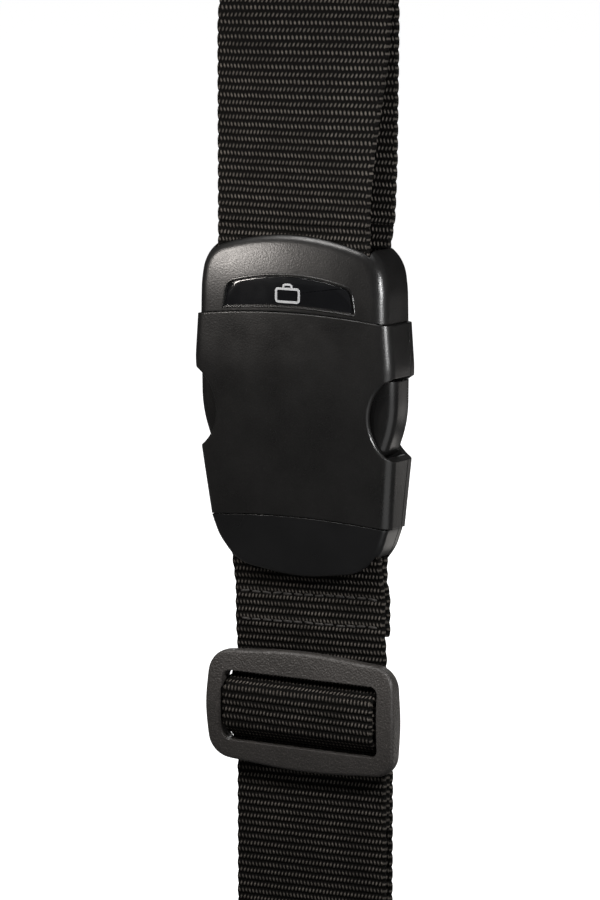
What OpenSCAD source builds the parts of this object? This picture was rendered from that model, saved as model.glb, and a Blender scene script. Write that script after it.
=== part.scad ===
// Luggage strap: one length of webbing, a side-release buckle and a three-bar slider.
// Millimetres. X runs across the webbing, Z is up, and the suitcase is on the +Y side.
// The origin is the centre of the buckle's flat back face.

/* [Webbing] */
// Width of the webbing across the strap
web_w = 51; // [38:1:51]
// Thickness of one layer of webbing
web_t = 1.7; // [1.4:0.1:1.8]
// Height of the closed strap from the buckle's middle up to its top
loop_top = 200; // [180:5:600]
// Height of the closed strap from the buckle's middle down to its bottom
loop_bottom = 250; // [240:5:600]
// Depth of the suitcase that the strap closes round
loop_depth = 265; // [120:5:400]

/* [Buckle] */
// Widest part of the buckle
buckle_w = 67; // [66:1:72]
// Thickness of the buckle at its seam
buckle_d = 16; // [16:0.5:18]
// Wall of the socket's two flat sides
wall = 2; // [1.6:0.1:2.2]
// Thickness of the latch arms, front to back
latch_w = 9.2; // [6:0.2:9.2]

/* [Slider] */
// Width of the slider frame
slider_w = 63.8; // [60:0.2:68]
// Height of the slider's middle below the buckle's middle
slider_drop = 92.5; // [92.5:0.5:110]

/* [Hidden] */
$fn = 96;
eps = 0.01;
gap = 0.2;
layer = web_t + gap;

// Heights of the buckle's seams and ends, from its middle
buckle_top_z = 49.5;
buckle_foot_z = -52;
seam_z = 24.7;
seam_rise = 2.3;
seam_gap = 0.3;
cover_seam_z = -35.2;
cover_seam_rise = 1.8;

// Half widths of the buckle's outline
half_w = buckle_w / 2;
seam_half_w = half_w - 0.9;
window_foot_half_w = half_w - 0.7;
cover_half_w = half_w - 2.9;
head_half_w = half_w - 1.6;
head_top_half_w = half_w - 3.5;
slot_half_w = web_w / 2 + 0.5;

// The front slopes back from the seam to the foot of the buckle
front_y = -buckle_d;
cover_front_y = front_y + 4;
foot_front_y = front_y + 5;

// Plug bar and socket bar: [y, z] of their middles, and their radii
plug_bar = [-7.5, 36.5];
plug_bar_r = 3.8;
socket_bar = [-5.2, -28];
socket_bar_r = 2.25;

// Latch arms
latch_axis = [half_w - 9.5, 27.6];
latch_barrel_r = 1.6;
latch_leg_w = 2.4;
latch_tip_x = half_w - 0.3;
shoulder_z = 8.2;
window_top_z = 9.3;
window_foot_z = -15.5;
window_reach = 7.6;
latch_y = -2.6;
cavity_floor_z = -18;
inner_half_w = half_w - 2.5;

// Slider frame
slider_z = -slider_drop;
slider_half_h = 17.6;
slider_arch = 1.6;
slider_front_y = -10.2;
slider_back_y = -4.9;
window_half_w = 26.6;
window_half_h = 10.6;
bar_half_h = 3.25;
bar_d = 2.4;
bar_y = -6.4;

// Planes in which the middles of the webbing layers lie
live_y = -1.3 - web_t / 2;
flap_y = live_y + layer;
inner_y = flap_y + layer;
pair_y = inner_y - layer;
corner_r = 38;
fold_end_z = -68.5;
dead_end_z = slider_z - 34;
dead_run_z = dead_end_z - 3;
merge_z = 140;
run_start_z = 52;
run_start_y = 1.4;
top_run_z = loop_top - corner_r - 4;
bottom_run_z = -loop_bottom + corner_r + 4;

// ---- Shared shapes ----

function unit(v) = v / norm(v);

// Points of an arc about c from angle a to angle b
function arc(c, r, a, b, n = 12) = [for (i = [0:n]) let (t = a + (b - a) * i / n) c + r * [cos(t), sin(t)]];

// A flat arch from -w to w whose ends are at height z and whose crown is rise higher
function arch(w, z, rise, n = 24) =
    let (r = (w * w + rise * rise) / (2 * rise), half = asin(w / r))
    [for (i = [0:n]) let (t = 90 + half - 2 * half * i / n) [r * cos(t), z + rise - r + r * sin(t)]];

// The corner at p between a and b, replaced by an arc of radius r
function corner(a, p, b, r, n = 8) =
    let (u = unit(a - p), v = unit(b - p), half = acos(u * v) / 2)
    r <= 0 || half > 89.5 ? [p] :
    let (c = p + unit(u + v) * r / sin(half), s = p + u * r / tan(half), e = p + v * r / tan(half),
         a0 = atan2(s[1] - c[1], s[0] - c[0]), turn = atan2(e[1] - c[1], e[0] - c[0]) - a0,
         sweep = turn > 180 ? turn - 360 : turn < -180 ? turn + 360 : turn)
    arc(c, r, a0, a0 + sweep, n);

function flat(v) = [v[0], v[1]];

// Outline vertices with no rounding, in the other order, and on the other side of the middle
function sharp(p) = [for (q = p) [q[0], q[1], 0]];
function reverse(p) = [for (i = [len(p) - 1:-1:0]) p[i]];
function mirrored(v) = [for (q = reverse(v)) [-q[0], q[1], q[2]]];

// A closed outline whose vertices are [x, z, corner radius]
function outline(v) =
    let (n = len(v))
    [for (i = [0:n - 1]) each corner(flat(v[(i + n - 1) % n]), flat(v[i]), flat(v[(i + 1) % n]), v[i][2])];

// An open line whose vertices are [y, z, bend radius]
function route(v) =
    let (n = len(v))
    [for (i = [0:n - 1]) each i == 0 || i == n - 1 ? [flat(v[i])]
        : corner(flat(v[i - 1]), flat(v[i]), flat(v[i + 1]), v[i][2])];

function side_of(p, i) =
    let (d = unit(p[min(i + 1, len(p) - 1)] - p[max(i - 1, 0)])) [-d[1], d[0]];

// Extrudes a [y, z] shape across the strap, centred on X
module across(w) {
    translate([-w / 2, 0, 0])
        rotate([90, 0, 90])
            linear_extrude(w)
                children();
}

// Extrudes an [x, z] shape from y = from forward (towards -Y) by depth
module forward(depth, from = 0) {
    translate([0, from, 0])
        rotate([90, 0, 0])
            linear_extrude(depth)
                children();
}

// One layer of webbing whose middle follows the line p
module webbing(p, w = web_w, t = web_t) {
    n = len(p);
    near = [for (i = [0:n - 1]) p[i] + side_of(p, i) * t / 2];
    far = [for (i = [n - 1:-1:0]) p[i] - side_of(p, i) * t / 2];
    across(w)
        polygon(concat(near, far));
}

module cross_bar(at, r, w) {
    translate([-w / 2, at[0], at[1]])
        rotate([0, 90, 0])
            cylinder(h = w, r = r);
}

// Rows of stitches lying on the face at y, with their outer side towards dir
module stitch_rows(y, dir, heights) {
    pitch = 3.4;
    count = 13;
    for (z = heights)
        for (i = [0:count - 1])
            translate([(i - (count - 1) / 2) * pitch - 1.2, dir > 0 ? y : y - 0.35, z - 0.3])
                cube([2.4, 0.35, 0.6]);
}

// ---- Plug: the male half ----

module plug_outline() {
    side = [[head_half_w - 0.5, 36, 30], [head_top_half_w, 44.6, 9]];
    polygon(outline(concat(
        sharp(arch(head_half_w, seam_z, seam_rise)),
        side,
        [[0, buckle_top_z + 1.8, 78]],
        mirrored(side)
    )));
}

module latch_socket(side) {
    translate([side * latch_axis[0], latch_axis[1]]) {
        circle(r = latch_barrel_r + 0.1);
        translate([-2.2, -6])
            square([4.4, 6]);
    }
}

module centre_tongue() {
    translate([-4, -8.2, -12])
        cube([8, 3, 40]);
}

module plug_head() {
    color([0.09, 0.09, 0.09]) {
        difference() {
            forward(buckle_d)
                plug_outline();
            // Slot that the webbing enters from above, open at the back
            translate([-slot_half_w, plug_bar[0] - 6, 30.5])
                cube([2 * slot_half_w, 15, 30]);
            // Seats of the two latch arms
            for (side = [-1, 1])
                forward(latch_w + 0.4, latch_y + 0.2)
                    latch_socket(side);
            // Recess for the badge
            forward(1, front_y + 0.8)
                polygon(badge_outline(0.1));
        }
        cross_bar(plug_bar, plug_bar_r, 2 * slot_half_w + 1);
        centre_tongue();
    }
}

function badge_outline(grow = 0) = concat(
    arch(21.8 + grow, seam_z + 2.8 - grow, 1.3),
    reverse(arch(21.8 + grow, seam_z + 7 + grow, 5.6))
);

module badge_plate() {
    color([0.03, 0.03, 0.03])
        forward(0.8, front_y + 0.8)
            polygon(badge_outline());
}

// ---- Latch arms ----

module latch_arm(side) {
    x = latch_axis[0];
    leg = latch_leg_w / 2;
    color([0.06, 0.06, 0.06])
        mirror([side < 0 ? 1 : 0, 0, 0])
            forward(latch_w, latch_y)
                union() {
                    translate(latch_axis)
                        circle(r = latch_barrel_r);
                    polygon(outline([
                        [x - leg, latch_axis[1], 0],
                        [x - leg, 0, 3],
                        [x + 0.6, window_foot_z + 1, 1.5],
                        [x + 5.2, window_foot_z + 1.2, 3],
                        [latch_tip_x - 0.2, -5, 12],
                        [latch_tip_x, shoulder_z, 0.6],
                        [x + leg, shoulder_z, 1],
                        [x + leg, latch_axis[1], 0]
                    ]));
                }
}

// ---- Socket: the female half ----

module socket_outline() {
    polygon(concat(
        reverse(arch(seam_half_w, seam_z - seam_gap, seam_rise)),
        [[-half_w, 13], [-window_foot_half_w, window_foot_z], [-cover_half_w, cover_seam_z]],
        arch(cover_half_w, cover_seam_z, cover_seam_rise),
        [[window_foot_half_w, window_foot_z], [half_w, 13]]
    ));
}

module side_profile() {
    polygon([
        [0, seam_z + 5], [front_y, seam_z + 5], [front_y, 10], [front_y + 1.4, -10],
        [cover_front_y, cover_seam_z], [foot_front_y, buckle_foot_z], [0, buckle_foot_z]
    ]);
}

// Round-backed notch through the edge of the socket, squared off inside for the arm's shoulder
module side_window(side) {
    half_h = (window_top_z - window_foot_z) / 2;
    middle_z = (window_top_z + window_foot_z) / 2;
    r = (half_h * half_h + window_reach * window_reach) / (2 * window_reach);
    translate([side * (half_w - window_reach + r), 1, middle_z])
        rotate([90, 0, 0])
            cylinder(h = buckle_d + 2, r = r);
    translate([side * half_w - 4, latch_y - latch_w - 0.6, middle_z])
        cube([8, latch_w + 1.2, half_h]);
}

module latch_cavity() {
    intersection() {
        translate([-inner_half_w, front_y, cavity_floor_z])
            cube([2 * inner_half_w, buckle_d, 60]);
        across(buckle_w)
            polygon([
                [-wall, seam_z + 6], [front_y + wall, seam_z + 6], [front_y + wall, 10],
                [front_y + 1.4 + wall, -10], [front_y + 2 + wall, cavity_floor_z], [-wall, cavity_floor_z]
            ]);
    }
}

// Room for the fold of webbing round the bar, open at the foot
module fold_room() {
    translate([-slot_half_w, -9.7, buckle_foot_z - 1])
        cube([2 * slot_half_w, 8.7, -21.5 - buckle_foot_z + 1]);
}

module socket_body() {
    color([0.09, 0.09, 0.09]) {
        difference() {
            intersection() {
                forward(buckle_d)
                    socket_outline();
                across(buckle_w)
                    side_profile();
            }
            latch_cavity();
            fold_room();
            for (side = [-1, 1])
                side_window(side);
        }
        cross_bar(socket_bar, socket_bar_r, 2 * slot_half_w + 1);
        // Rails that guide the plug's tongue
        for (side = [-1, 1])
            translate([side * 5.4 - 0.75, -wall - 2.6, cavity_floor_z])
                cube([1.5, 3, 38]);
    }
}

module cover_outline() {
    top = cover_seam_z - seam_gap;
    side = [[cover_half_w - 2.2, top - 6, 12], [cover_half_w - 9, buckle_foot_z + 2.9, 12]];
    polygon(outline(concat(
        reverse(sharp(arch(cover_half_w, top, cover_seam_rise))),
        mirrored(reverse(side)),
        [[0, buckle_foot_z - 0.4, 60]],
        reverse(side)
    )));
}

module socket_end_cover() {
    color([0.07, 0.07, 0.08])
        difference() {
            intersection() {
                forward(buckle_d)
                    cover_outline();
                across(buckle_w)
                    side_profile();
            }
            fold_room();
        }
}

// ---- Webbing ----

function socket_fold_route() = concat(
    route([[flap_y, fold_end_z, 0], [flap_y, -56, 3], [socket_bar[0] + 3.3, -52.5, 3],
        [socket_bar[0] + 3.3, socket_bar[1] - 4, 0]]),
    arc(socket_bar, 3.3, 0, 180, 20),
    route([[socket_bar[0] - 3.3, socket_bar[1] - 4, 0], [live_y - layer + 0.1, -52.3, 8], [live_y, -56.4, 4],
        [live_y, -62, 0]])
);

module outer_webbing() {
    far_y = loop_depth + layer;
    color([0.12, 0.11, 0.1])
        webbing(concat(
            socket_fold_route(),
            route([[live_y, bottom_run_z + 17, 0], [live_y, bottom_run_z + 14, 8], [pair_y, bottom_run_z + 4, 8],
                [pair_y, -loop_bottom - layer, corner_r + layer], [far_y, -loop_bottom - layer, corner_r + layer],
                [far_y, loop_top + layer, corner_r + layer], [pair_y, loop_top + layer, corner_r + layer],
                [pair_y, top_run_z, 0]])
        ));
}

module inner_webbing() {
    color([0.12, 0.11, 0.1])
        webbing(route([
            [inner_y, bottom_run_z, 0], [inner_y, -loop_bottom, corner_r], [loop_depth, -loop_bottom, corner_r],
            [loop_depth, loop_top, corner_r], [inner_y, loop_top, corner_r], [inner_y, top_run_z, 0]
        ]));
}

module upper_outer_run() {
    color([0.12, 0.11, 0.1])
        webbing(route([[plug_bar[0] - 4.85, run_start_z, 0], [plug_bar[0] - 4.85, run_start_z + 3, 10],
            [pair_y, merge_z, 30], [pair_y, top_run_z, 0]]));
}

module upper_inner_run() {
    color([0.12, 0.11, 0.1])
        webbing(route([[run_start_y, run_start_z, 0], [run_start_y + 0.6, run_start_z + 2, 8],
            [3.2, 70, 20], [4, 112, 30], [inner_y, 150, 20], [inner_y, top_run_z, 0]]));
}

module plug_webbing_loop() {
    color([0.12, 0.11, 0.1])
        webbing(concat(
            [[plug_bar[0] - 4.85, run_start_z]],
            arc(plug_bar, 4.85, 180, 360, 24),
            route([[plug_bar[0] + 4.85, plug_bar[1] + 0.5, 0], [plug_bar[0] + 4.85, plug_bar[1] + 2, 4],
                [run_start_y, run_start_z, 0]])
        ));
}

module inner_lower_run() {
    color([0.12, 0.11, 0.1])
        webbing([[inner_y, dead_run_z], [inner_y, bottom_run_z]]);
}

module socket_fold_stitching() {
    color([0.2, 0.19, 0.18])
        stitch_rows(live_y - web_t / 2, -1, [-57.9, -66.3]);
}

// ---- Slider ----

module slider_outline() {
    r = 8;
    w = slider_w / 2;
    h = slider_half_h;
    crown = arch(w, h - slider_arch, slider_arch);
    intersection() {
        polygon(outline([
            [w - 1, h, r], [w, 0, 0], [w - 1, -h, r], [-w + 1, -h, r], [-w, 0, 0], [-w + 1, h, r]
        ]));
        polygon(concat(crown, reverse([for (p = crown) [p[0], -p[1]]])));
    }
}

module slider_frame() {
    depth = slider_back_y - slider_front_y;
    r = 2.5;
    w = window_half_w;
    h = window_half_h;
    color([0.1, 0.1, 0.1])
        translate([0, 0, slider_z]) {
            difference() {
                forward(depth, slider_back_y)
                    slider_outline();
                forward(depth + 2, slider_back_y + 1)
                    polygon(outline([[w, h, r], [w, -h, r], [-w, -h, r], [-w, h, r]]));
            }
            // Centre bar with rounded edges
            translate([-w - 1, bar_y - bar_d / 2, -bar_half_h + bar_d / 2])
                cube([2 * w + 2, bar_d, 2 * bar_half_h - bar_d]);
            for (side = [-1, 1])
                cross_bar([bar_y, side * (bar_half_h - bar_d / 2)], bar_d / 2, 2 * w + 2);
        }
}

// The live webbing where it climbs over the centre bar; its ends lie behind the two rims
module slider_crossing_webbing() {
    low_y = slider_back_y + 0.1 + web_t / 2;
    high_y = bar_y - bar_d / 2 - 2 * layer + web_t / 2;
    color([0.12, 0.11, 0.1])
        translate([0, 0, slider_z])
            webbing(route([[low_y, 16, 0], [low_y, 9.35, 1.5], [high_y, 3.95, 1.5], [high_y, -3.95, 1.5],
                [low_y, -9.35, 1.5], [low_y, -15.8, 0]]));
}

// The dead end where it turns over the centre bar
module slider_bar_wrap() {
    r = bar_d / 2 + gap + web_t / 2;
    top = bar_half_h - bar_d / 2;
    color([0.12, 0.11, 0.1])
        translate([0, 0, slider_z])
            webbing(concat([[bar_y + r, -6.6]], arc([bar_y, top], r, 0, 180, 16), [[bar_y - r, -3.2]]));
}

module dead_end_fold() {
    turn_z = slider_z + 3;
    mid_y = (flap_y + inner_y) / 2;
    color([0.12, 0.11, 0.1])
        webbing(concat([[inner_y, dead_run_z]], arc([mid_y, turn_z], layer / 2, 0, 180, 12), [[flap_y, dead_end_z]]));
}

module dead_end_stitching() {
    color([0.2, 0.19, 0.18])
        stitch_rows(inner_y + web_t / 2, 1, [dead_end_z + 5, dead_end_z + 13]);
}

plug_head();
badge_plate();
latch_arm(-1);  // left_latch_arm
latch_arm(1);  // right_latch_arm
plug_webbing_loop();
socket_body();
socket_end_cover();
socket_fold_stitching();
outer_webbing();
inner_webbing();
upper_outer_run();
upper_inner_run();
inner_lower_run();
slider_frame();
slider_crossing_webbing();
slider_bar_wrap();
dead_end_fold();
dead_end_stitching();
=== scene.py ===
"""Looks for the luggage strap: webbing, side-release buckle and three-bar slider.

Shapes are worked out in millimetres in the row frame (X across the webbing, Y into the suitcase,
Z up, origin on the middle of the buckle's flat back) and turned into metres as each piece is placed.
"""

import math

import bpy
import numpy as np
from mathutils import Matrix, Vector


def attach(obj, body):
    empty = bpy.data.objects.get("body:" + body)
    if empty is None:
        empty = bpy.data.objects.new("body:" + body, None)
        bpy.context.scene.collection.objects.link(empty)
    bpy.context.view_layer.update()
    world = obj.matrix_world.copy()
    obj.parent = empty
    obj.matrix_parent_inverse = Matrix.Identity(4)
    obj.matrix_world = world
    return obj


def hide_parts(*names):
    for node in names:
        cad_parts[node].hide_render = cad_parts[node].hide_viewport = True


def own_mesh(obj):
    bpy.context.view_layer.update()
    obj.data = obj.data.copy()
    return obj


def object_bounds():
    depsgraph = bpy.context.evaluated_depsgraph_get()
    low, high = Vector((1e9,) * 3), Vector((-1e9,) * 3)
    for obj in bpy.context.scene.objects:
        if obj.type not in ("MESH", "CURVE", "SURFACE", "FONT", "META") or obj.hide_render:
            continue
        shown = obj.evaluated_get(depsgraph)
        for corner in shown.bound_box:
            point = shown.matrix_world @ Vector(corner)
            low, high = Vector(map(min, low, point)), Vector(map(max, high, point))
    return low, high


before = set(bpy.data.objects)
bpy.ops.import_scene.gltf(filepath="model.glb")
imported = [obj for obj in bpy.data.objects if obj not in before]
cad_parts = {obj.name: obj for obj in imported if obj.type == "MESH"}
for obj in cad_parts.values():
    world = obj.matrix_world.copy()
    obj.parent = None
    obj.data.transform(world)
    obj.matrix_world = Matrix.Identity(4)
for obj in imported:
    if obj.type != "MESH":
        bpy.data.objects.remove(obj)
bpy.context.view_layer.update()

MM = 0.001

# Webbing
WEB_W = 51.2
WEB_T = 1.7
LAYER = 1.9
ROW_PITCH = 2.1
DASH_PITCH = 1.2
LOOP_TOP = 200.0
LOOP_BOTTOM = 250.0
LOOP_DEPTH = 265.0
CORNER_R = 38.0
LIVE_Y = -1.3 - WEB_T / 2
FLAP_Y = LIVE_Y + LAYER
INNER_Y = FLAP_Y + LAYER
PAIR_Y = INNER_Y - LAYER
TOP_RUN_Z = LOOP_TOP - CORNER_R - 4
BOTTOM_RUN_Z = CORNER_R - LOOP_BOTTOM + 4
RUN_START_Z = 52.0
RUN_START_Y = 1.4
FOLD_END_Z = -68.5
FOLD_PROUD = 0.9

# Buckle
HALF_W = 33.5
TOP_Z = 49.5
FOOT_Z = -52.0
FRONT_Y = -16.0
CROWN = 1.3
SEAM_Z = 24.7
SEAM_RISE = 2.3
SEAM_GAP = 0.3
COVER_SEAM_Z = -35.2
COVER_SEAM_RISE = 1.8
COVER_HALF_W = 30.6
HEAD_HALF_W = 31.9
WINDOW_TOP_Z = 9.3
WINDOW_FOOT_Z = -15.5
WINDOW_REACH = 7.6
WALL = 2.0
PART_LINE_Y = -2.7
SLOT_HALF_W = 26.0
PLUG_BAR = (-7.5, 36.5)
PLUG_BAR_R = 3.8
PLUG_LOOP_R = 4.85
SOCKET_BAR = (-5.2, -28.0)
SOCKET_BAR_R = 2.25
SOCKET_LOOP_R = 3.3
FRONT_SLOPE = 4.0
FRONT_SLOPE_TOP_Z = 12.0
FRONT_SLOPE_H = 45.6
HEAD_BEND = 1.6
HEAD_BEND_FOOT_Z = 27.0
HEAD_BEND_H = 22.0
BADGE_HALF_W = 21.8
BADGE_FLOAT = 0.35
PICTOGRAM_Z = SEAM_Z + 7.4

# Latch arms
LATCH_AXIS = (24.0, 27.6)
LATCH_BACK_Y = -2.6
LATCH_W = 9.2
SHOULDER_Z = 8.2
LATCH_TIP_X = 33.2
CAVITY_FLOOR_Z = -18.0

# Slider
SLIDER_Z = -92.5
SLIDER_HALF_W = 31.9
SLIDER_HALF_H = 17.6
SLIDER_ARCH = 1.6
SLIDER_FRONT_Y = -10.2
SLIDER_BACK_Y = -4.9
SLIDER_BEND = 2.2
SLIDER_HOLE_HALF_W = 26.6
SLIDER_HOLE_HALF_H = 10.6
BAR_Y = -6.4
BAR_D = 2.4
BAR_HALF_H = 3.25
DEAD_END_Z = SLIDER_Z - 34
DEAD_RUN_Z = DEAD_END_Z - 3

# Stitches
STITCH_PITCH = 3.6
STITCH_LENGTH = 2.9
STITCH_R = 0.3
STITCH_ROW_HALF_W = 21.6

# Meshes
SHARP_DEG = 35
OUTLINE_STEP = 0.9
CUT_HALF_W = 45
CUT_FRONT_Y = -30
CUT_BACK_Y = 10


# ---------------------------------------------------------------- outlines and routes

def unit(v):
    return v / np.linalg.norm(v)


def arc(centre, r, start, end, n=12):
    """Points of an arc, with the angles in degrees."""
    t = np.radians(np.linspace(start, end, n + 1))
    return np.column_stack((centre[0] + r * np.cos(t), centre[1] + r * np.sin(t)))


def arch(half_w, z, rise, n=40):
    """A flat arch from +half_w to -half_w whose crown is rise above its ends at z."""
    r = (half_w ** 2 + rise ** 2) / (2 * rise)
    half = math.degrees(math.asin(half_w / r))
    return arc((0, z + rise - r), r, 90 - half, 90 + half, n)


def corner(a, p, b, r, n=10):
    """The corner at p, between a and b, as an arc of radius r."""
    if r <= 0:
        return np.array([p])
    u, v = unit(a - p), unit(b - p)
    half = math.acos(np.clip(u @ v, -1, 1)) / 2
    if half > math.radians(89.5):
        return np.array([p])
    c = p + unit(u + v) * r / math.sin(half)
    s = p + u * r / math.tan(half) - c
    e = p + v * r / math.tan(half) - c
    a0 = math.degrees(math.atan2(s[1], s[0]))
    turn = (math.degrees(math.atan2(e[1], e[0])) - a0 + 180) % 360 - 180
    return arc(c, r, a0, a0 + turn, n)


def outline(vertices):
    """A closed outline from vertices (x, z, corner radius)."""
    v = np.array(vertices, float)
    n = len(v)
    return np.vstack([corner(v[i - 1, :2], v[i, :2], v[(i + 1) % n, :2], v[i, 2]) for i in range(n)])


def route(vertices):
    """An open line from vertices (y, z, bend radius)."""
    v = np.array(vertices, float)
    bends = [corner(v[i - 1, :2], v[i, :2], v[i + 1, :2], v[i, 2]) for i in range(1, len(v) - 1)]
    return np.vstack([v[:1, :2], *bends, v[-1:, :2]])


def mirrored(vertices):
    """The same vertices on the other side of the middle, in the other order."""
    return [(-x, z, r) for x, z, r in reversed(vertices)]


def resample(line, step, closed=False):
    """Points spaced evenly along a line, about step apart."""
    p = np.vstack((line, line[:1])) if closed else np.asarray(line)
    along = np.concatenate(([0], np.cumsum(np.linalg.norm(np.diff(p, axis=0), axis=1))))
    n = max(2, round(along[-1] / step))
    s = np.linspace(0, along[-1], n + 1)
    points = np.column_stack([np.interp(s, along, p[:, k]) for k in range(2)])
    return (points[:-1], s[:-1]) if closed else (points, s)


def inset(points, distance):
    """A closed anticlockwise outline moved inwards."""
    ahead, behind = np.roll(points, -1, 0) - points, points - np.roll(points, 1, 0)
    normals = []
    for side in (behind, ahead):
        length = np.linalg.norm(side, axis=1)[:, None] + 1e-9
        normals.append(np.column_stack((-side[:, 1], side[:, 0])) / length)
    total = normals[0] + normals[1]
    scale = np.maximum((total * total).sum(1), 0.6)[:, None]
    return points + distance * 2 * total / scale


def smoothstep(t):
    t = np.clip(t, 0, 1)
    return t * t * (3 - 2 * t)


# ---------------------------------------------------------------- meshes

def make_mesh(name, points, faces, sharp_deg=SHARP_DEG):
    """A smooth-shaded piece whose edges over sharp_deg stay sharp."""
    mesh = bpy.data.meshes.new(name)
    mesh.from_pydata(np.asarray(points).tolist(), [], faces)
    mesh.validate()
    mesh.shade_smooth()
    mesh.set_sharp_from_angle(angle=math.radians(sharp_deg))
    piece = bpy.data.objects.new(name, mesh)
    bpy.context.scene.collection.objects.link(piece)
    return piece


def skin_faces(loop_count, n, first=0):
    """Faces of a closed skin through loops of n points each, whose points are numbered from first."""
    faces = []
    for k in range(loop_count - 1):
        low, high = first + k * n, first + (k + 1) * n
        for i in range(n):
            j = (i + 1) % n
            faces.append((low + i, low + j, high + j, high + i))
    last = first + (loop_count - 1) * n
    faces.append(tuple(range(first + n - 1, first - 1, -1)))
    faces.append(tuple(range(last, last + n)))
    return faces


def loft(name, loops):
    """A skin through closed loops that all have the same number of points, capped at both ends."""
    return make_mesh(name, np.vstack(loops), skin_faces(len(loops), len(loops[0])))


def lift(flat, y):
    """(x, z) points placed at depth y."""
    return np.column_stack((flat[:, 0], np.broadcast_to(y, len(flat)), flat[:, 1]))


def block(name, shape, front, back=0.0, edge=1.0, back_edge=0.5, part_line=None, crown=False):
    """A moulded block from depth back to the front, a depth or a function of x and z.

    edge and back_edge round its edges, and part_line is the depth of a fine groove round it.
    crown fills a curved front with shrinking loops; without it the front is one flat face."""
    points, _ = resample(shape, OUTLINE_STEP, closed=True)
    front_y = front if callable(front) else lambda x, z: np.full(len(z), float(front))
    loops = []
    for t in np.radians(np.linspace(90, 0, 4)):
        flat = inset(points, back_edge * (1 - math.cos(t)))
        loops.append(lift(flat, back - back_edge * (1 - math.sin(t))))
    if part_line is not None:
        for offset, depth in ((0.14, 0), (0, 0.22), (-0.14, 0)):
            loops.append(lift(inset(points, depth), part_line + offset))
    for t in np.radians(np.linspace(0, 90, 9)):
        flat = inset(points, edge * (1 - math.cos(t)))
        loops.append(lift(flat, front_y(*flat.T) + edge * (1 - math.sin(t))))
    if crown:
        rim = inset(points, edge)
        middle = rim.mean(0)
        for share in np.linspace(0.97, 0.04, 14):
            flat = middle + (rim - middle) * share
            loops.append(lift(flat, front_y(*flat.T)))
    return loft(name, loops)


def prism(name, shape, y0, y1):
    """An (x, z) outline extruded in depth, for cutting."""
    return loft(name, [lift(shape, max(y0, y1)), lift(shape, min(y0, y1))])


def side_prism(name, shape, half_w):
    """A (y, z) outline extruded across the strap, for cutting."""
    loops = [np.column_stack((np.full(len(shape), x), shape)) for x in (-half_w, half_w)]
    return loft(name, loops)


def box_cutter(name, low, high):
    """A box between two opposite corners, for cutting."""
    shape = np.array([(low[0], low[2]), (high[0], low[2]), (high[0], high[2]), (low[0], high[2])])
    return prism(name, shape, low[1], high[1])


def fix_normals(piece):
    """Turns every face outwards."""
    bpy.context.view_layer.objects.active = piece
    bpy.ops.object.select_all(action="DESELECT")
    piece.select_set(True)
    bpy.ops.object.mode_set(mode="EDIT")
    bpy.ops.mesh.select_all(action="SELECT")
    bpy.ops.mesh.normals_make_consistent(inside=False)
    bpy.ops.object.mode_set(mode="OBJECT")


def carve(piece, cutters):
    """Cuts each cutter out of the piece, then removes it."""
    fix_normals(piece)
    for cutter in cutters:
        fix_normals(cutter)
        boolean = piece.modifiers.new("cut", "BOOLEAN")
        boolean.operation = "DIFFERENCE"
        boolean.object = cutter
        boolean.solver = "MANIFOLD"
        bpy.context.view_layer.objects.active = piece
        bpy.ops.object.modifier_apply(modifier=boolean.name)
        bpy.data.objects.remove(cutter)
    piece.data.shade_smooth()
    piece.data.set_sharp_from_angle(angle=math.radians(SHARP_DEG))


def cross_bar(name, middle, r, half_w):
    """A round bar across the strap."""
    return side_prism(name, arc(middle, r, 0, 352.5, 47), half_w)


def place(piece, body, material, nodes=()):
    """Brings a finished piece from millimetres to metres and puts it on its body."""
    piece.data.transform(Matrix.Scale(MM, 4))
    piece.data.materials.clear()
    piece.data.materials.append(material)
    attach(piece, body)
    if nodes:
        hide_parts(*nodes)
    return piece


# ---------------------------------------------------------------- webbing meshes

def rib_height(s):
    """How far a rib stands out at distance s along the webbing, 0 to 1."""
    return np.abs(np.sin(math.pi * s / ROW_PITCH)) ** 0.7


def webbing(name, line, step=0.42, start=0.0, shift=None, lean=0.0):
    """A strip of ribbed webbing whose middle follows line, a list of (y, z).

    start is the weave's distance at the first point, so that neighbouring pieces match, and lean
    is how far a rib climbs along the strip for each millimetre across it.
    shift(x, z) is an extra depth for each point, for a strip that twists."""
    points, along = resample(line, step)
    s = along + start
    direction = np.gradient(points, axis=0)
    direction /= np.linalg.norm(direction, axis=1)[:, None]
    normal = np.column_stack((-direction[:, 1], direction[:, 0]))
    half_w = WEB_W / 2 - 0.4 + 0.4 * np.abs(np.sin(math.pi * s / (2 * ROW_PITCH))) ** 0.8
    across = np.array([-1, -0.992, -0.97, -0.75, -0.4, 0, 0.4, 0.75, 0.97, 0.992, 1])
    share = np.array([0.35, 0.8, 1, 1, 1, 1, 1, 1, 1, 0.8, 0.35])
    ring = np.concatenate((across, across[::-1]))
    ring_share = np.concatenate((share, -share[::-1]))
    count, n = len(ring), len(points)
    x = half_w[:, None] * ring
    s = s[:, None] + lean * x
    lift_by = (WEB_T / 2 - 0.2 + 0.2 * rib_height(s)) * ring_share
    y = points[:, 0][:, None] + normal[:, 0][:, None] * lift_by
    z = points[:, 1][:, None] + normal[:, 1][:, None] * lift_by
    if shift is not None:
        y = y + shift(x, z)
    verts = np.stack((x, y, z), axis=2).reshape(-1, 3)
    piece = make_mesh(name, verts, skin_faces(n, count), sharp_deg=80)
    weave = piece.data.attributes.new("weave", "FLOAT_VECTOR", "POINT")
    values = np.stack((x, s, np.sign(ring_share) + 0 * x), axis=2)
    weave.data.foreach_set("vector", values.reshape(-1).astype(np.float32))
    fix_normals(piece)
    return piece


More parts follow.
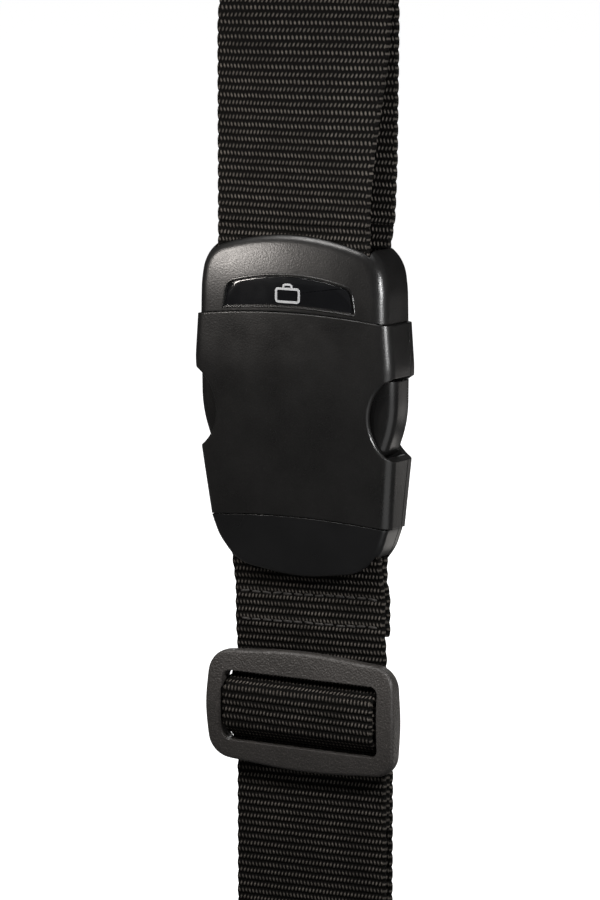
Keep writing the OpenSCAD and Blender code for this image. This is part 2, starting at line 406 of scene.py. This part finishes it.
def socket_fold_route():
    """The webbing's sewn end, up round the socket's bar and down to the front of the strap."""
    back_y, front_y = SOCKET_BAR[0] + SOCKET_LOOP_R, SOCKET_BAR[0] - SOCKET_LOOP_R
    up = route([(FLAP_Y, FOLD_END_Z, 0), (FLAP_Y, -56, 3), (back_y, -52.5, 3), (back_y, -32, 0)])
    down = route([
        (front_y, -32, 0), (LIVE_Y - LAYER, -52.3, 8), (LIVE_Y - FOLD_PROUD, -56.8, 6),
        (LIVE_Y - 0.8, -68, 6), (LIVE_Y, -75, 6), (LIVE_Y, -80, 0)
    ])
    return np.vstack((up, arc(SOCKET_BAR, SOCKET_LOOP_R, 0, 180, 20), down))


def round_suitcase_route():
    """The outer layer from the foot of the front run, round the suitcase, to the head of it."""
    far_y = LOOP_DEPTH + LAYER
    low_z, high_z, r = -LOOP_BOTTOM - LAYER, LOOP_TOP + LAYER, CORNER_R + LAYER
    return route([
        (LIVE_Y, BOTTOM_RUN_Z + 17, 0), (LIVE_Y, BOTTOM_RUN_Z + 14, 8),
        (PAIR_Y, BOTTOM_RUN_Z + 4, 8), (PAIR_Y, low_z, r), (far_y, low_z, r),
        (far_y, high_z, r), (PAIR_Y, high_z, r), (PAIR_Y, TOP_RUN_Z, 0)
    ])


def inner_route():
    """The inner layer, which starts and ends behind the front run."""
    return route([
        (INNER_Y, BOTTOM_RUN_Z, 0), (INNER_Y, -LOOP_BOTTOM, CORNER_R),
        (LOOP_DEPTH, -LOOP_BOTTOM, CORNER_R), (LOOP_DEPTH, LOOP_TOP, CORNER_R),
        (INNER_Y, LOOP_TOP, CORNER_R), (INNER_Y, TOP_RUN_Z, 0)
    ])


def crossing_route():
    """The webbing's climb over the slider's centre bar."""
    low_y = SLIDER_BACK_Y + 0.1 + WEB_T / 2
    high_y = BAR_Y - BAR_D / 2 - 2 * LAYER + WEB_T / 2
    half = [(low_y, 16), (low_y, 10.0), (high_y, 5.2)]
    down = [(y, SLIDER_Z + z, 2.0) for y, z in half]
    up = [(y, SLIDER_Z - z, 2.0) for y, z in reversed(half)]
    return route(down + up)


def twist(x, z):
    """Extra depth of the upper outer run, which meets the inner layer first at its right edge."""
    straight = PLUG_BAR[0] - PLUG_LOOP_R
    t = (z - RUN_START_Z) / (TOP_RUN_Z - RUN_START_Z)
    left = 0.5 - x / WEB_W
    delay = 0.5 * left
    return (PAIR_Y - straight) * smoothstep((t - 0.02 - delay) / (0.58 - 0.1 * left))


def capsule(length, r, n=8):
    """Rings of points along a stitch that lies along X."""
    stations = [(-0.5, 0.25), (-0.47, 0.75), (-0.3, 1), (0.3, 1), (0.47, 0.75), (0.5, 0.25)]
    rings = []
    for along, size in stations:
        t = np.arange(n) * 2 * math.pi / n
        y = r * size * np.cos(t) + r * 0.8 * (1 - size)
        rings.append(np.column_stack((np.full(n, along * length), y, 1.3 * r * size * np.sin(t))))
    return rings


def stitching(name, face_y, heights, seed, lean=0.0):
    """Rows of stitches on the face at face_y, each a little off its neighbour."""
    rng = np.random.default_rng(seed)
    points, faces = [], []
    for z in heights:
        for x in np.arange(-STITCH_ROW_HALF_W, STITCH_ROW_HALF_W + 0.1, STITCH_PITCH):
            rings = capsule(STITCH_LENGTH, STITCH_R)
            tilt = lean + rng.normal(0, 0.05)
            offset = np.array([x + rng.normal(0, 0.12), face_y, z + lean * x + rng.normal(0, 0.12)])
            faces.extend(skin_faces(len(rings), len(rings[0]), first=len(points)))
            for ring in rings:
                ring[:, 2] += ring[:, 0] * tilt
                points.extend((ring + offset).tolist())
    piece = make_mesh(name, points, faces, sharp_deg=60)
    fix_normals(piece)
    return piece


# ---------------------------------------------------------------- materials

class Graph:
    """A short way to write a material's node graph."""

    def __init__(self, name):
        self.material = bpy.data.materials.new(name)
        self.material.use_nodes = True
        self.tree = self.material.node_tree
        self.shader = self.tree.nodes["Principled BSDF"]

    def node(self, kind, inputs=(), **settings):
        made = self.tree.nodes.new(kind)
        for key, value in settings.items():
            setattr(made, key, value)
        for key, value in dict(inputs).items():
            self.set(made.inputs[key], value)
        return made

    def set(self, socket, value):
        if isinstance(value, bpy.types.NodeSocket):
            self.tree.links.new(value, socket)
        else:
            socket.default_value = value

    def math(self, operation, *values):
        made = self.node("ShaderNodeMath", operation=operation)
        for socket, value in zip(made.inputs, values):
            self.set(socket, value)
        return made.outputs[0]

    def ramp(self, value, low, high, to_low=0.0, to_high=1.0):
        made = self.node("ShaderNodeMapRange", {
            "Value": value, "From Min": low, "From Max": high, "To Min": to_low, "To Max": to_high
        })
        return made.outputs[0]

    def mix(self, share, a, b):
        made = self.node("ShaderNodeMix", data_type="RGBA")
        self.set(made.inputs["Factor"], share)
        self.set(made.inputs["A"], a)
        self.set(made.inputs["B"], b)
        return made.outputs["Result"]

    def noise(self, scale, detail=2.0, vector=None):
        """Noise in the object's own coordinates, or in those of vector."""
        vector = vector or self.node("ShaderNodeTexCoord").outputs["Object"]
        made = self.node("ShaderNodeTexNoise", {
            "Vector": vector, "Scale": scale, "Detail": detail, "Roughness": 0.6
        })
        return made.outputs["Fac"]

    def bump(self, height, distance, normal=None):
        made = self.node("ShaderNodeBump", {"Height": height, "Distance": distance, "Strength": 1.0})
        if normal is not None:
            self.set(made.inputs["Normal"], normal)
        return made.outputs[0]

    def finish(self, **inputs):
        """Sets the shader's inputs, named with _ for a space, and hands over the material."""
        for key, value in inputs.items():
            self.set(self.shader.inputs[key.replace("_", " ")], value)
        return self.material


def rgb(r, g, b):
    return (r, g, b, 1.0)


def plastic(name, colour, roughness, grain, grain_size, edge=0.35, sparkle=0.0, coat=0.0):
    """Moulded plastic: a fine grain, a colour and sheen that vary a little, and softened edges.

    grain, grain_size and edge are in millimetres, and sparkle is how much lighter the specks are."""
    g = Graph(name)
    fine = g.noise(1 / (grain_size * MM * 2), 0.5)
    broad = g.noise(60, 3.0)
    speckle = g.noise(1 / (grain_size * MM), 1.0)
    soft_edge = g.node("ShaderNodeBevel", {"Radius": edge * MM}, samples=6).outputs[0]
    normal = g.bump(fine, grain * MM, soft_edge)
    bright = g.math("MULTIPLY", g.ramp(speckle, 0.55, 0.75), sparkle)
    shade = g.math("ADD", g.ramp(broad, 0.3, 0.7, 0.85, 1.15), bright)
    shaded = g.node("ShaderNodeVectorMath", {0: colour[:3], "Scale": shade}, operation="SCALE")
    sheen = g.ramp(broad, 0.3, 0.7, roughness - 0.04, roughness + 0.05)
    return g.finish(
        Base_Color=shaded.outputs[0], Roughness=sheen, Normal=normal, Coat_Weight=coat,
        Coat_Roughness=0.03, Specular_IOR_Level=0.5
    )


def weave_material():
    """Rows of short slanted threads, leaning the other way in every second row.

    It is drawn from the webbing's own attribute: millimetres across, then millimetres along."""
    g = Graph("webbing")
    weave = g.node("ShaderNodeAttribute", attribute_name="weave").outputs["Vector"]
    split = g.node("ShaderNodeSeparateXYZ", {0: weave})
    x, s = split.outputs["X"], split.outputs["Y"]
    wobble = g.math("MULTIPLY", g.math("SUBTRACT", g.noise(0.35, 2.0, weave), 0.5), 0.5)
    row_at = g.math("DIVIDE", g.math("ADD", s, wobble), ROW_PITCH)
    row = g.math("FLOOR", row_at)
    within = g.math("FRACT", row_at)
    odd = g.math("MODULO", g.math("ABSOLUTE", row), 2.0)
    lean = g.math("MULTIPLY", g.math("SUBTRACT", g.math("MULTIPLY", odd, 2.0), 1.0), 0.42)
    slant = g.math("MULTIPLY", lean, g.math("SUBTRACT", within, 0.5))
    dash_at = g.math("ADD", g.math("DIVIDE", x, DASH_PITCH), slant)
    dash_at = g.math("ADD", dash_at, g.math("MULTIPLY", odd, 0.5))
    dash = g.math("SINE", g.math("MULTIPLY", g.math("FRACT", dash_at), math.pi))
    rib = g.math("SINE", g.math("MULTIPLY", within, math.pi))
    thread = g.math("MULTIPLY", g.math("POWER", rib, 1.2), g.math("POWER", dash, 1.6))
    selvedge = g.ramp(g.math("ABSOLUTE", x), WEB_W / 2 - 0.9, WEB_W / 2 - 0.6)
    edge_loop = g.math("MULTIPLY", g.math("POWER", rib, 2.5), 0.75)
    height = g.mix(selvedge, thread, edge_loop)
    patch = g.ramp(g.noise(0.09, 3.0, weave), 0.3, 0.7, 0.6, 1.2)
    fibre = g.ramp(g.noise(3.2, 2.0, weave), 0.3, 0.7, 0.5, 1.3)
    # Painted shade: every second row, whose threads lean the other way, is painted a quarter darker than the
    # rest.
    painted_row_shade = g.ramp(odd, 0.0, 1.0, 0.75, 1.0)
    tone_and_row_shade = g.math("MULTIPLY", g.math("MULTIPLY", patch, fibre), painted_row_shade)
    # Painted shade: the colour follows the weave's height, near black in the low gaps between the threads and
    # lighter on their crowns.
    light = g.math("MULTIPLY", g.ramp(height, 0.4, 0.98), tone_and_row_shade)
    colour = g.mix(light, rgb(0.002, 0.0018, 0.0015), rgb(0.15, 0.134, 0.118))
    normal = g.bump(height, 0.35 * MM)
    return g.finish(Base_Color=colour, Roughness=0.7, Normal=normal, Specular_IOR_Level=0.08)


def thread_material():
    """Black sewing thread with a little of its twist."""
    g = Graph("thread")
    twist_noise = g.noise(2600, 2.0)
    light = g.ramp(twist_noise, 0.35, 0.7)
    colour = g.mix(light, rgb(0.004, 0.0037, 0.0034), rgb(0.045, 0.04, 0.036))
    return g.finish(Base_Color=colour, Roughness=0.6, Normal=g.bump(twist_noise, 0.15 * MM))


# ---------------------------------------------------------------- buckle

def front_surface(x, z):
    """Depth of the buckle's front, which is slightly crowned and slopes back towards its foot."""
    s = np.clip((FRONT_SLOPE_TOP_Z - z) / FRONT_SLOPE_H, 0, 2)
    return FRONT_Y + FRONT_SLOPE * s ** 1.25 + CROWN * (x / HALF_W) ** 2


def head_surface(x, z):
    """The front carried on over the plug, where it also curves back towards the top."""
    s = np.clip((z - HEAD_BEND_FOOT_Z) / HEAD_BEND_H, 0, 1)
    return front_surface(x, z) + HEAD_BEND * s ** 2.3


def seam_arch(half_w, z):
    """The seam between the plug and the socket, carried 3 mm past a piece of that half width."""
    return arch(half_w + 3, z - 0.45, SEAM_RISE + 0.45)


def cover_seam_arch(z):
    """The seam between the socket and its end cover, carried 3 mm past their sides."""
    return arch(COVER_HALF_W + 3, z - 0.37, COVER_SEAM_RISE + 0.37)


def past_seam(name, seam, far_z):
    """A cutter for everything between an arched seam and the height far_z."""
    side = 1 if far_z > seam[0][1] else -1
    ends = [(side, seam[0][1]), (side, far_z), (-side, far_z), (-side, seam[0][1])]
    shape = np.vstack((seam[::-side], np.array(ends) * (CUT_HALF_W, 1)))
    return prism(name, shape, CUT_BACK_Y, CUT_FRONT_Y)


def above(name, seam):
    return past_seam(name, seam, 70)


def below(name, seam):
    return past_seam(name, seam, -80)


def webbing_room(front_y):
    """A cutter for the room round the socket's bar, open towards the foot of the buckle."""
    return box_cutter("room", (-SLOT_HALF_W, front_y, -60), (SLOT_HALF_W, -1.0, -21.5))


def badge_shape(grow=0.0):
    """The badge's arched outline, larger by grow all round."""
    foot = arch(BADGE_HALF_W + grow, SEAM_Z + 2.8 - grow, 1.3)
    low = [(x, z, 0) for x, z in foot[::-1].tolist()]
    side = [(BADGE_HALF_W - 1.2 + grow, SEAM_Z + 9.6 + grow, 3.6)]
    return outline(low + side + [(0, SEAM_Z + 15.0 + grow, 75)] + mirrored(side))


def plug_blank():
    """The plug's head before it is cut along the seam."""
    side = [(HEAD_HALF_W, 8, 6), (HEAD_HALF_W - 0.5, 34, 30), (HALF_W - 3.5, 44.8, 11)]
    return outline(side + [(0, TOP_Z + 4.8, 78)] + mirrored(side))


def plug_head(material):
    """The domed head with its webbing bar, and the tongue that guides it into the socket."""
    head = block("plug_head", plug_blank(), head_surface, edge=3.6, back_edge=0.8, crown=True)
    section = outline([(-13.5, 30.5, 4), (2, 30.5, 0), (2, 60, 0), (-13.5, 60, 0)])
    slot = side_prism("slot", section, SLOT_HALF_W)
    recess = prism("recess", badge_shape(0.35), FRONT_Y - 3, FRONT_Y + 1.0)
    carve(head, [below("seam", seam_arch(HEAD_HALF_W, SEAM_Z)), slot, recess])
    place(head, "plug", material, ["plug_head"])
    bar = cross_bar("plug_bar", PLUG_BAR, PLUG_BAR_R, SLOT_HALF_W + 0.5)
    place(bar, "plug", material)
    shape = outline([(4, -12, 1.5), (4, 27, 0), (-4, 27, 0), (-4, -12, 1.5)])
    tongue = block("plug_tongue", shape, -8.2, -5.2, edge=0.4, back_edge=0.4)
    place(tongue, "plug", material)


def badge(material, rim_material):
    """The gloss plate let into the head, and the thin raised rim round it."""
    def plate_front(x, z):
        return head_surface(x, z) + BADGE_FLOAT

    def rim_front(x, z):
        return head_surface(x, z) - 0.15

    plate = block(
        "badge_plate", badge_shape(), plate_front, FRONT_Y + 0.95, edge=0.3, back_edge=0.1, crown=True
    )
    place(plate, "plug", material, ["badge_plate"])
    rim = block(
        "badge_rim", badge_shape(0.8), rim_front, FRONT_Y + 0.8, edge=0.22, back_edge=0.1, crown=True
    )
    carve(rim, [prism("opening", badge_shape(0.3), FRONT_Y - 3, FRONT_Y + 3)])
    place(rim, "plug", rim_material)


def badge_frame(name, outer, inner, material):
    """A thin raised frame on the badge between two boxes (half width, foot, top, foot r, top r)."""
    def box(half_w, foot, top, foot_r, top_r):
        side = [(half_w, PICTOGRAM_Z + foot, foot_r), (half_w, PICTOGRAM_Z + top, top_r)]
        return outline(side + mirrored(side))

    frame_piece = block(
        name, box(*outer), FRONT_Y + 0.17, FRONT_Y + 0.3, edge=0.05, back_edge=0.02
    )
    carve(frame_piece, [prism("hollow", box(*inner), FRONT_Y - 1, FRONT_Y + 1)])
    place(frame_piece, "plug", material)


def pictogram(material):
    """A plain little suitcase on the badge: a rounded frame with a handle."""
    badge_frame("badge_mark", (4.2, -2.6, 1.9, 0.9, 0.9), (3.5, -1.9, 1.2, 0.4, 0.4), material)
    badge_frame("badge_handle", (1.7, 1.7, 3.1, 0, 0.7), (1.1, 1.0, 2.5, 0, 0.3), material)


def window_shape(side):
    """The round-backed side window in the buckle's flat walls."""
    half_h = (WINDOW_TOP_Z - WINDOW_FOOT_Z) / 2
    r = (half_h ** 2 + WINDOW_REACH ** 2) / (2 * WINDOW_REACH)
    return arc((side * (HALF_W - WINDOW_REACH + r), WINDOW_TOP_Z - half_h), r, 0, 356.25, 95)


def window_cutter(side, lip=1.0):
    """Cuts a side window and rounds its lip at the front."""
    shape = window_shape(side)
    loops = [lift(shape, 5)]
    for t in np.radians(np.linspace(0, 90, 6)):
        flat = inset(shape, -lip * (1 - math.cos(t)))
        loops.append(lift(flat, front_surface(*flat.T) + lip * (1 - math.sin(t))))
    loops.append(lift(inset(shape, -lip), -30))
    return loft("window", loops)


def shoulder_cutter(side):
    """Squares off the top of a side window, where the latch button catches."""
    x, middle_z = side * HALF_W, (WINDOW_TOP_Z + WINDOW_FOOT_Z) / 2
    low = (x - 4, LATCH_BACK_Y - LATCH_W - 0.6, middle_z)
    high = (x + 4, LATCH_BACK_Y + 0.6, WINDOW_TOP_Z)
    return box_cutter("shoulder", low, high)


def socket_body(material):
    """The shell that takes the plug, open at the top, with its side windows and webbing bar."""
    side = [
        (COVER_HALF_W - 1.9, -52, 6), (HALF_W - 0.7, -15.5, 20), (HALF_W + 0.1, 12, 30), (31.5, 40, 6)
    ]
    shape = outline(side + mirrored(side))
    body = block(
        "socket_body", shape, front_surface, edge=3.4, back_edge=0.8, part_line=PART_LINE_Y, crown=True
    )
    section = np.array([
        (-WALL, 40), (FRONT_Y + WALL, 40), (FRONT_Y + WALL, 10), (FRONT_Y + 1.6 + WALL, -10),
        (FRONT_Y + 2.6 + WALL, CAVITY_FLOOR_Z), (-WALL, CAVITY_FLOOR_Z)
    ])
    carve(body, [
        above("seam", seam_arch(HALF_W, SEAM_Z - SEAM_GAP)),
        below("foot", cover_seam_arch(COVER_SEAM_Z)),
        side_prism("cavity", section, HALF_W - 2.5),
        webbing_room(-9.7),
        *[window_cutter(side) for side in (-1, 1)],
        *[shoulder_cutter(side) for side in (-1, 1)]
    ])
    place(body, "strap", material, ["socket_body"])
    bar = cross_bar("socket_bar", SOCKET_BAR, SOCKET_BAR_R, SLOT_HALF_W + 0.5)
    place(bar, "strap", material)


def end_cover(material):
    """The smooth cover at the socket's foot, set back a little from the socket's front."""
    def cover_front(x, z):
        return front_surface(x, z) + 0.12

    side = [
        (COVER_HALF_W - 9, FOOT_Z + 2.5, 13), (COVER_HALF_W - 2.8, -41.5, 14),
        (COVER_HALF_W - 0.7, -35.6, 0), (COVER_HALF_W - 0.1, -18, 6)
    ]
    shape = outline(side + mirrored(side) + [(0, FOOT_Z - 0.4, 60)])
    cover = block(
        "socket_end_cover", shape, cover_front, edge=1.9, back_edge=0.8, part_line=PART_LINE_Y, crown=True
    )
    seam = cover_seam_arch(COVER_SEAM_Z - SEAM_GAP)
    carve(cover, [above("seam", seam), webbing_room(-9.2)])
    place(cover, "strap", material, ["socket_end_cover"])


def on_side(shape, side):
    """A right-hand outline, or its mirror image still going anticlockwise."""
    return shape if side > 0 else (shape * (-1, 1))[::-1]


def latch_arm(side, body, material):
    """A sprung arm: a round-fronted button, which shows in the side window, on a thinner leg."""
    name = body + "_arm"
    x, z = LATCH_AXIS
    front = LATCH_BACK_Y - LATCH_W
    leg = outline([(x - 1.2, -2, 0.5), (x + 1.2, -2, 0.5), (x + 1.2, z, 0.5), (x - 1.2, z, 0.5)])
    # The button is cut level at its shoulder, so that only its outer front edge is round
    button = outline([
        (x - 1.2, -9, 2), (x + 0.2, -14.5, 2), (x + 5.2, -14.3, 3), (LATCH_TIP_X - 0.2, -4, 34),
        (LATCH_TIP_X, SHOULDER_Z + 6, 1), (x - 1.2, SHOULDER_Z + 6, 1)
    ])
    arm = block(name, on_side(button, side), front, LATCH_BACK_Y, edge=3.2, back_edge=0.6)
    low = (side * x - 20, CUT_FRONT_Y, SHOULDER_Z)
    high = (side * x + 20, CUT_BACK_Y, SHOULDER_Z + 12)
    carve(arm, [box_cutter("shoulder", low, high)])
    place(arm, body, material, [name])
    stem = block(name + "_leg", on_side(leg, side), front + 1, LATCH_BACK_Y - 1, edge=0.5, back_edge=0.5)
    place(stem, body, material)


# ---------------------------------------------------------------- slider

def slider_front(x, z):
    """Depth of the slider's front, which bends back towards its upper and lower bars."""
    return SLIDER_FRONT_Y + SLIDER_BEND * ((z - SLIDER_Z) / SLIDER_HALF_H) ** 2


def slider(material):
    """The frame with its slightly arched bars, and the centre bar behind them."""
    w, h = SLIDER_HALF_W, SLIDER_HALF_H
    side = [(w - 0.6, -h + SLIDER_ARCH, 7), (w + 0.4, 0, 60), (w - 0.6, h - SLIDER_ARCH, 7)]
    crown = h + 0.55 * SLIDER_ARCH
    shape = outline(side + [(0, crown, 170)] + mirrored(side) + [(0, -crown, 170)]) + (0, SLIDER_Z)
    ring = block(
        "slider_frame", shape, slider_front, SLIDER_BACK_Y, edge=1.0, back_edge=0.8, crown=True
    )
    side = [(SLIDER_HOLE_HALF_W, -SLIDER_HOLE_HALF_H, 2.6), (SLIDER_HOLE_HALF_W, SLIDER_HOLE_HALF_H, 2.6)]
    hole = outline(side + mirrored(side)) + (0, SLIDER_Z)
    carve(ring, [prism("hole", hole, 5, CUT_FRONT_Y)])
    place(ring, "slider", material, ["slider_frame"])
    r, reach = BAR_D / 2, BAR_HALF_H - BAR_D / 2
    section = np.vstack((
        arc((BAR_Y, SLIDER_Z + reach), r, 0, 180), arc((BAR_Y, SLIDER_Z - reach), r, 180, 360)
    ))
    bar = side_prism("slider_bar", section, SLIDER_HOLE_HALF_W + 0.5)
    place(bar, "slider", material)


# ---------------------------------------------------------------- webbing pieces

def lay(name, line, body, material, nodes, **settings):
    """A piece of webbing along a line, put on its body."""
    return place(webbing(name, line, **settings), body, material, nodes)


def fixed_webbing(material):
    """The webbing that stays with the strap: round the socket's bar and round the suitcase."""
    front = np.vstack((socket_fold_route(), [(LIVE_Y, BOTTOM_RUN_Z + 17)]))
    lay("outer_webbing", front, "strap", material, ["outer_webbing"], step=0.35, lean=0.035)
    lay("outer_webbing_round", round_suitcase_route(), "strap", material, (), step=0.7)
    lay("inner_webbing", inner_route(), "strap", material, ["inner_webbing"], step=0.7)


def slider_webbing(material):
    """The webbing that goes with the slider: over its bar, round it, and the sewn dead end."""
    lay(
        "slider_crossing_webbing", crossing_route(), "slider", material, ["slider_crossing_webbing"],
        step=0.35
    )
    r = BAR_D / 2 + LAYER - WEB_T / 2
    reach = BAR_HALF_H - BAR_D / 2
    wrap = np.vstack((
        [(BAR_Y + r, SLIDER_Z - 6.6)],
        arc((BAR_Y, SLIDER_Z + reach), r, 0, 180, 16),
        [(BAR_Y - r, SLIDER_Z - 3.2)]
    ))
    lay("slider_bar_wrap", wrap, "slider", material, ["slider_bar_wrap"])
    fold = np.vstack((
        [(INNER_Y, DEAD_RUN_Z)],
        arc(((FLAP_Y + INNER_Y) / 2, SLIDER_Z + 3), LAYER / 2, 0, 180, 12),
        [(FLAP_Y, DEAD_END_Z)]
    ))
    lay("dead_end_fold", fold, "slider", material, ["dead_end_fold"])


def plug_webbing(material):
    """The webbing's turn round the plug's bar."""
    front_y, back_y = PLUG_BAR[0] - PLUG_LOOP_R, PLUG_BAR[0] + PLUG_LOOP_R
    back = route([
        (back_y, PLUG_BAR[1] + 0.5, 0), (back_y, PLUG_BAR[1] + 2, 4), (RUN_START_Y, RUN_START_Z, 0)
    ])
    turn = np.vstack(([(front_y, RUN_START_Z)], arc(PLUG_BAR, PLUG_LOOP_R, 180, 360, 24), back))
    lay("plug_webbing_loop", turn, "plug", material, ["plug_webbing_loop"])


def slack_webbing(material):
    """The runs above the plug and behind the slider, each given a mesh of its own."""
    front_y = PLUG_BAR[0] - PLUG_LOOP_R
    outer = lay(
        "upper_outer_run", np.array([(front_y, RUN_START_Z), (front_y, TOP_RUN_Z)]), "strap", material,
        ["upper_outer_run"], step=0.35, shift=twist
    )
    inner_line = route([
        (RUN_START_Y, RUN_START_Z, 0), (RUN_START_Y + 0.6, RUN_START_Z + 2, 8), (3.2, 70, 20),
        (4, 112, 30), (INNER_Y, 150, 20), (INNER_Y, TOP_RUN_Z, 0)
    ])
    inner = lay(
        "upper_inner_run", inner_line, "strap", material, ["upper_inner_run"], step=0.35
    )
    lower_line = np.array([(INNER_Y, DEAD_RUN_Z), (INNER_Y, BOTTOM_RUN_Z)])
    lower = lay("inner_lower_run", lower_line, "strap", material, ["inner_lower_run"])
    for piece in (outer, inner):
        bunch(piece)
    bunch(lower)


def bunch(piece):
    """Gives a run a mesh of its own."""
    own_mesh(piece)


def all_stitching(material):
    """The two rows under the socket, and the two through the dead end behind the slider."""
    front_y = LIVE_Y - FOLD_PROUD - WEB_T / 2 + 0.05
    front = stitching("socket_fold_stitching", front_y, (-57.9, -66.3), seed=3, lean=0.035)
    place(front, "strap", material, ["socket_fold_stitching"])
    back_y = INNER_Y + WEB_T / 2 - 0.05
    back = stitching("dead_end_stitching", back_y, (DEAD_END_Z + 5, DEAD_END_Z + 13), seed=5)
    place(back, "slider", material, ["dead_end_stitching"])


# ---------------------------------------------------------------- studio

def studio_material():
    """White to the camera, with a soft shadow, and dim to everything that the object mirrors."""
    g = Graph("studio")
    pale = g.node("ShaderNodeBsdfDiffuse", {"Color": rgb(0.55, 0.55, 0.55)})
    glow = g.node("ShaderNodeEmission", {"Color": rgb(1, 1, 1), "Strength": 0.97})
    dim = g.node("ShaderNodeBsdfDiffuse", {"Color": rgb(0.12, 0.12, 0.12)})
    seen = g.node("ShaderNodeAddShader", {0: pale.outputs[0], 1: glow.outputs[0]})
    path = g.node("ShaderNodeLightPath")
    choice = g.node("ShaderNodeMixShader", {
        0: path.outputs["Is Camera Ray"], 1: dim.outputs[0], 2: seen.outputs[0]
    })
    g.set(g.tree.nodes["Material Output"].inputs["Surface"], choice.outputs[0])
    return g.material


def backdrop():
    """A pale floor that curves up into a wall."""
    floor_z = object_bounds()[0][2] - 0.0005
    section = route([(-9000, 0, 0), (9000, 0, 1500), (9000, 9000, 0)]) * MM
    points = [(x, y, z + floor_z) for x in (-12.0, 12.0) for y, z in section]
    n = len(section)
    faces = [(i, i + 1, n + i + 1, n + i) for i in range(n - 1)]
    mesh = bpy.data.meshes.new("studio")
    mesh.from_pydata(points, [], faces)
    mesh.shade_smooth()
    mesh.materials.append(studio_material())
    studio = bpy.data.objects.new("studio", mesh)
    bpy.context.scene.collection.objects.link(studio)


def aim(thing, target):
    """Turns a light or a camera, which look along their own -Z, towards target."""
    thing.rotation_euler = (Vector(target) - thing.location).to_track_quat("-Z", "Y").to_euler()


def area_light(name, position, target, size, power, colour=(1, 1, 1)):
    """A soft rectangular lamp, with lengths in metres and power in watts."""
    data = bpy.data.lights.new(name, "AREA")
    data.shape = "RECTANGLE"
    data.size, data.size_y = size
    data.energy = power
    data.color = colour
    light = bpy.data.objects.new(name, data)
    bpy.context.scene.collection.objects.link(light)
    light.location = position
    light.visible_camera = False
    aim(light, target)


def lights():
    """Soft light from above, small near lamps for the plastic's highlights, and one for the back."""
    middle, warm = (0, 0, 0), (1, 0.96, 0.92)
    head, side, low_side = (-0.024, -0.015, 0.046), (0.03, -0.014, 0.03), (0.03, -0.014, -0.04)
    area_light("key", (-0.122, -0.142, 0.062), head, (0.03, 0.03), 0.155, (1, 0.94, 0.89))
    area_light("front", (-0.6, -0.9, 1.25), middle, (0.4, 0.4), 11, (1, 0.98, 0.96))
    area_light("right_strip", (0.2, -0.12, 0.05), side, (0.03, 0.03), 0.5)
    area_light("low_strip", (0.2, -0.12, -0.11), low_side, (0.2, 0.16), 0.1)
    area_light("right_back", (0.42, 0.68, -0.3), middle, (0.4, 0.4), 0.45, warm)
    area_light("cover_side", (0.125, 0.29, -0.195), (0.03, -0.01, -0.042), (0.14, 0.08), 0.05, warm)
    area_light("overhead", (0.2, -0.3, 1.6), middle, (0.8, 0.8), 4)
    area_light("rear", (-0.6, 1.3, 1.5), (0, 0.13, 0), (0.8, 0.8), 24)


def surroundings():
    """A world that is white to the camera, and dim to everything that the object mirrors."""
    world = bpy.data.worlds.new("world")
    world.use_nodes = True
    background = world.node_tree.nodes["Background"]
    background.inputs["Color"].default_value = rgb(1, 1, 1)
    path = world.node_tree.nodes.new("ShaderNodeLightPath")
    strength = world.node_tree.nodes.new("ShaderNodeMapRange")
    strength.inputs["To Min"].default_value = 0.08
    world.node_tree.links.new(path.outputs["Is Camera Ray"], strength.inputs["Value"])
    world.node_tree.links.new(strength.outputs[0], background.inputs["Strength"])
    bpy.context.scene.world = world
    bpy.context.scene.view_settings.view_transform = "Standard"


def camera():
    """A long lens to the right of the buckle and a little above it."""
    azimuth, elevation = math.radians(31), math.radians(8.5)
    distance = 1.216
    target = Vector((0.00415, -0.0156, -0.013))
    data = bpy.data.cameras.new("camera")
    data.lens = 168
    data.clip_end = 50
    shot = bpy.data.objects.new("camera", data)
    bpy.context.scene.collection.objects.link(shot)
    shot.location = target + distance * Vector((
        math.sin(azimuth) * math.cos(elevation), -math.cos(azimuth) * math.cos(elevation), math.sin(elevation)
    ))
    aim(shot, target)
    bpy.context.scene.camera = shot


# ---------------------------------------------------------------- build

grained = plastic(
    "buckle_plastic", rgb(0.0078, 0.0076, 0.0075), roughness=0.3, grain=0.026, grain_size=0.24,
    edge=0.5, sparkle=0.8
)
smooth_black = plastic(
    "cover_plastic", rgb(0.006, 0.0061, 0.0065), roughness=0.3, grain=0.004, grain_size=0.5, edge=0.2
)
polished = plastic(
    "latch_plastic", rgb(0.007, 0.0068, 0.0068), roughness=0.26, grain=0.002, grain_size=0.6, edge=0.4
)
gloss = plastic(
    "badge_gloss", rgb(0.006, 0.0062, 0.007), roughness=0.1, grain=0.0, grain_size=0.6, edge=0.25,
    coat=0.6
)
mark = plastic(
    "badge_mark", rgb(0.45, 0.46, 0.47), roughness=0.3, grain=0.0, grain_size=0.6, edge=0.05
)
coarse = plastic(
    "slider_plastic", rgb(0.034, 0.031, 0.029), roughness=0.48, grain=0.2, grain_size=0.28,
    sparkle=2.0
)
cloth = weave_material()
sewing = thread_material()

plug_head(grained)
badge(gloss, polished)
pictogram(mark)
socket_body(grained)
end_cover(smooth_black)
latch_arm(-1, "left_latch", polished)
latch_arm(1, "right_latch", polished)
slider(coarse)
fixed_webbing(cloth)
slider_webbing(cloth)
plug_webbing(cloth)
slack_webbing(cloth)
all_stitching(sewing)

backdrop()
lights()
surroundings()
camera()
